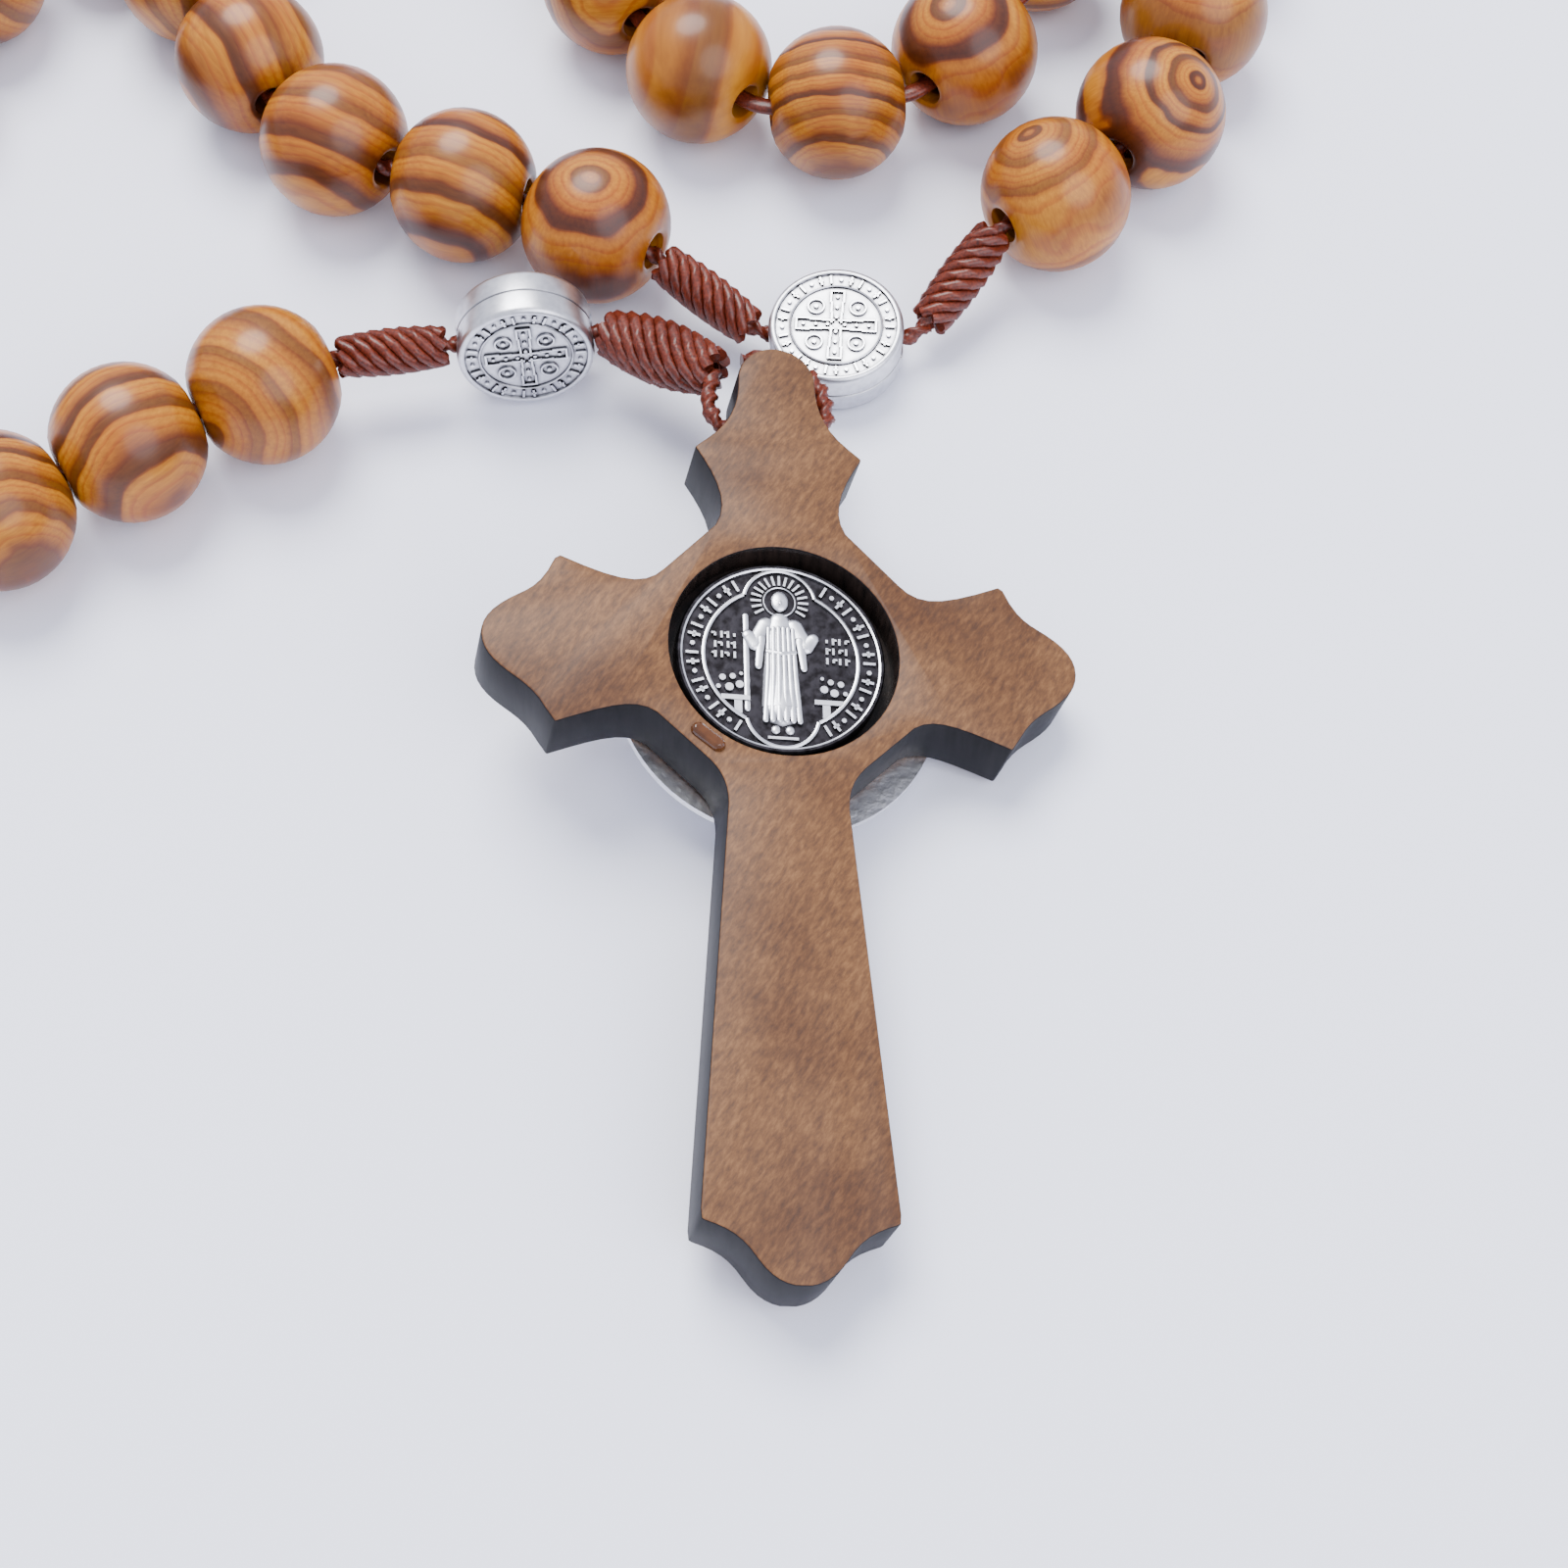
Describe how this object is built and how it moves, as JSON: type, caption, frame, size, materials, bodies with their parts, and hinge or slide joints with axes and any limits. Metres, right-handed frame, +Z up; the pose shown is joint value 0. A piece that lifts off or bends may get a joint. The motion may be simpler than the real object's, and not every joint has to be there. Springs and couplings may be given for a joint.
{
  "type": "rosary",
  "caption": "Rosary of round wooden beads on knotted cord, with round medal beads and a wooden crucifix that has a medal set in its back, lying in a loose heap.",
  "frame": {"origin": "middle of the floor area that the laid-out rosary covers, on the surface it lies on", "axes": "+Z up; +Y runs from the foot of the crucifix towards its cord; +X to the right seen with the crucifix foot nearest"},
  "size_m": [0.1225, 0.1684, 0.0114],
  "materials": {
    "bead_wood": "varnished, with dark growth rings",
    "board_wood": "satin face, scorched laser-cut edges",
    "cord": "twisted satin cord",
    "antique_silver": "die-struck, darkened in the low parts",
    "cast_silver": "cast, bright",
    "glue": "clear amber"
  },
  "bodies": {
    "strung_cord": {"drop_cord": "cord", "loop_cord": "cord", "knot_by_cross": "cord", "knot_drop_upper": "cord", "knot_drop_lower": "cord", "knot_centre": "cord", "knot_a_side_of_medal_1": "cord", "knot_b_side_of_medal_1": "cord", "knot_b_side_of_medal_2": "cord", "knot_c_side_of_medal_2": "cord", "knot_c_side_of_medal_3": "cord", "knot_d_side_of_medal_3": "cord", "knot_d_side_of_medal_4": "cord", "knot_e_side_of_medal_4": "cord"},
    "crucifix": {"cross_board": "board_wood", "back_medal": "antique_silver", "medal_glue": "glue", "front_dish": "cast_silver", "corpus": "cast_silver", "title_plate": "cast_silver"},
    "medal_drop": {"medal_drop": "antique_silver"},
    "medal_centre": {"medal_centre": "antique_silver"},
    "medal_1": {"medal_1": "antique_silver"},
    "medal_2": {"medal_2": "antique_silver"},
    "medal_3": {"medal_3": "antique_silver"},
    "medal_4": {"medal_4": "antique_silver"},
    "bead_p1": {"bead_p1": "bead_wood"},
    "bead_p2": {"bead_p2": "bead_wood"},
    "bead_p3": {"bead_p3": "bead_wood"},
    "bead_a1": {"bead_a1": "bead_wood"},
    "bead_a2": {"bead_a2": "bead_wood"},
    "bead_a3": {"bead_a3": "bead_wood"},
    "bead_a4": {"bead_a4": "bead_wood"},
    "bead_a5": {"bead_a5": "bead_wood"},
    "bead_a6": {"bead_a6": "bead_wood"},
    "beads_a7_to_a10": {"bead_a7": "bead_wood", "bead_a8": "bead_wood", "bead_a9": "bead_wood", "bead_a10": "bead_wood"},
    "bead_b1": {"bead_b1": "bead_wood"},
    "bead_b2": {"bead_b2": "bead_wood"},
    "bead_b3": {"bead_b3": "bead_wood"},
    "beads_b4_to_b8": {"beads_b4_to_b8": "bead_wood"},
    "beads_b9_and_b10": {"bead_b9": "bead_wood", "bead_b10": "bead_wood"},
    "beads_c1_and_c2": {"bead_c1": "bead_wood", "bead_c2": "bead_wood"},
    "bead_c3": {"bead_c3": "bead_wood"},
    "bead_c4": {"bead_c4": "bead_wood"},
    "bead_c5": {"bead_c5": "bead_wood"},
    "bead_c6": {"bead_c6": "bead_wood"},
    "beads_c7_to_c10": {"bead_c7": "bead_wood", "bead_c8": "bead_wood", "bead_c9": "bead_wood", "bead_c10": "bead_wood"},
    "beads_d1_to_d4": {"beads_d1_to_d4": "bead_wood"},
    "bead_d5": {"bead_d5": "bead_wood"},
    "beads_d6_to_d10": {"beads_d6_to_d10": "bead_wood"},
    "beads_e1_to_e10": {"beads_e1_to_e10": "bead_wood"}
  },
  "joints": [
    {"name": "crucifix_swing", "type": "hinge", "parent": "strung_cord", "child": "crucifix", "pos_m": [0.02041, -0.03081, 0.00665], "axis": [-0.9794, -0.0205, 0.2011], "range_deg": [-80, 80]},
    {"name": "medal_drop_spin", "type": "hinge", "parent": "strung_cord", "child": "medal_drop", "pos_m": [0.0049, -0.02135, 0.0047], "axis": [0.9952, 0.0974, 0], "continuous": true},
    {"name": "medal_centre_spin", "type": "hinge", "parent": "strung_cord", "child": "medal_centre", "pos_m": [-0.04375, -0.03465, 0.0023], "axis": [-0.9222, 0.3867, 0], "continuous": true},
    {"name": "medal_1_spin", "type": "hinge", "parent": "strung_cord", "child": "medal_1", "pos_m": [0.0247, -0.0201, 0.0023], "axis": [0.9971, -0.0767, 0], "continuous": true},
    {"name": "medal_2_spin", "type": "hinge", "parent": "strung_cord", "child": "medal_2", "pos_m": [0.0328, 0.041, 0.0023], "axis": [0, -1, 0], "continuous": true},
    {"name": "medal_3_spin", "type": "hinge", "parent": "strung_cord", "child": "medal_3", "pos_m": [-0.00105, 0.0661, 0.0023], "axis": [-0.6816, 0.7318, 0], "continuous": true},
    {"name": "medal_4_spin", "type": "hinge", "parent": "strung_cord", "child": "medal_4", "pos_m": [-0.0317, 0.0799, 0.0023], "axis": [-0.9884, 0.1521, 0], "continuous": true},
    {"name": "bead_p1_spin", "type": "hinge", "parent": "strung_cord", "child": "bead_p1", "pos_m": [-0.01133, -0.02493, 0.005], "axis": [-0.9063, -0.4226, 0], "continuous": true},
    {"name": "bead_p2_spin", "type": "hinge", "parent": "strung_cord", "child": "bead_p2", "pos_m": [-0.01941, -0.02913, 0.005], "axis": [-0.866, -0.5, 0], "continuous": true},
    {"name": "bead_p3_spin", "type": "hinge", "parent": "strung_cord", "child": "bead_p3", "pos_m": [-0.02709, -0.03402, 0.005], "axis": [-0.8192, -0.5736, 0], "continuous": true},
    {"name": "bead_a1_spin", "type": "hinge", "parent": "strung_cord", "child": "bead_a1", "pos_m": [0.00931, -0.01264, 0.005], "axis": [-0.866, 0.5, 0], "continuous": true},
    {"name": "bead_a2_spin", "type": "hinge", "parent": "strung_cord", "child": "bead_a2", "pos_m": [0.00057, -0.00903, 0.005], "axis": [-0.9659, 0.2588, 0], "continuous": true},
    {"name": "bead_a3_spin", "type": "hinge", "parent": "strung_cord", "child": "bead_a3", "pos_m": [-0.00816, -0.00493, 0.005], "axis": [-0.8192, 0.5736, 0], "continuous": true},
    {"name": "bead_a4_spin", "type": "hinge", "parent": "strung_cord", "child": "bead_a4", "pos_m": [-0.01435, 0.00245, 0.005], "axis": [-0.4226, 0.9063, 0], "continuous": true},
    {"name": "bead_a5_spin", "type": "hinge", "parent": "strung_cord", "child": "bead_a5", "pos_m": [-0.01912, 0.01077, 0.005], "axis": [-0.5736, 0.8192, 0], "continuous": true},
    {"name": "bead_a6_spin", "type": "hinge", "parent": "strung_cord", "child": "bead_a6", "pos_m": [-0.02665, 0.0178, 0.005], "axis": [-0.9998, -0.0194, 0], "continuous": true},
    {"name": "beads_a7_to_a10_spin", "type": "hinge", "parent": "strung_cord", "child": "beads_a7_to_a10", "pos_m": [-0.03985, -0.0015, 0.005], "axis": [-0.4206, -0.9072, 0], "continuous": true},
    {"name": "bead_b1_spin", "type": "hinge", "parent": "strung_cord", "child": "bead_b1", "pos_m": [0.03924, -0.01074, 0.005], "axis": [0.8192, 0.5736, 0], "continuous": true},
    {"name": "bead_b2_spin", "type": "hinge", "parent": "strung_cord", "child": "bead_b2", "pos_m": [0.04599, -0.00397, 0.005], "axis": [0.5736, 0.8192, 0], "continuous": true},
    {"name": "bead_b3_spin", "type": "hinge", "parent": "strung_cord", "child": "bead_b3", "pos_m": [0.04965, 0.00486, 0.005], "axis": [0.1736, 0.9848, 0], "continuous": true},
    {"name": "beads_b4_to_b8_spin", "type": "hinge", "parent": "strung_cord", "child": "beads_b4_to_b8", "pos_m": [0.0538, 0.03285, 0.005], "axis": [0.1319, 0.9913, 0], "continuous": true},
    {"name": "beads_b9_and_b10_spin", "type": "hinge", "parent": "strung_cord", "child": "beads_b9_and_b10", "pos_m": [0.04505, 0.0577, 0.005], "axis": [-0.9083, -0.4184, 0], "continuous": true},
    {"name": "beads_c1_and_c2_spin", "type": "hinge", "parent": "strung_cord", "child": "beads_c1_and_c2", "pos_m": [0.03995, 0.01675, 0.005], "axis": [-0.0826, -0.9966, 0], "continuous": true},
    {"name": "bead_c3_spin", "type": "hinge", "parent": "strung_cord", "child": "bead_c3", "pos_m": [0.03392, 0.00197, 0.005], "axis": [-0.6428, -0.766, 0], "continuous": true},
    {"name": "bead_c4_spin", "type": "hinge", "parent": "strung_cord", "child": "bead_c4", "pos_m": [0.02517, -0.00254, 0.005], "axis": [-0.9962, -0.0872, 0], "continuous": true},
    {"name": "bead_c5_spin", "type": "hinge", "parent": "strung_cord", "child": "bead_c5", "pos_m": [0.01601, 0.0008, 0.005], "axis": [-0.7071, 0.7071, 0], "continuous": true},
    {"name": "bead_c6_spin", "type": "hinge", "parent": "strung_cord", "child": "bead_c6", "pos_m": [0.01017, 0.00896, 0.005], "axis": [-0.4226, 0.9063, 0], "continuous": true},
    {"name": "beads_c7_to_c10_spin", "type": "hinge", "parent": "strung_cord", "child": "beads_c7_to_c10", "pos_m": [0.0068, 0.0345, 0.005], "axis": [-0.011, 0.9999, 0], "continuous": true},
    {"name": "beads_d1_to_d4_spin", "type": "hinge", "parent": "strung_cord", "child": "beads_d1_to_d4", "pos_m": [-0.0098, 0.0454, 0.005], "axis": [-0.022, -0.9998, 0], "continuous": true},
    {"name": "bead_d5_spin", "type": "hinge", "parent": "strung_cord", "child": "bead_d5", "pos_m": [-0.016, 0.022, 0.005], "axis": [-1, 0, 0], "continuous": true},
    {"name": "beads_d6_to_d10_spin", "type": "hinge", "parent": "strung_cord", "child": "beads_d6_to_d10", "pos_m": [-0.0216, 0.04995, 0.005], "axis": [0.0176, 0.9998, 0], "continuous": true},
    {"name": "beads_e1_to_e10_spin", "type": "hinge", "parent": "strung_cord", "child": "beads_e1_to_e10", "pos_m": [-0.05055, 0.03045, 0.005], "axis": [-0.1396, -0.9902, 0], "continuous": true}
  ]
}
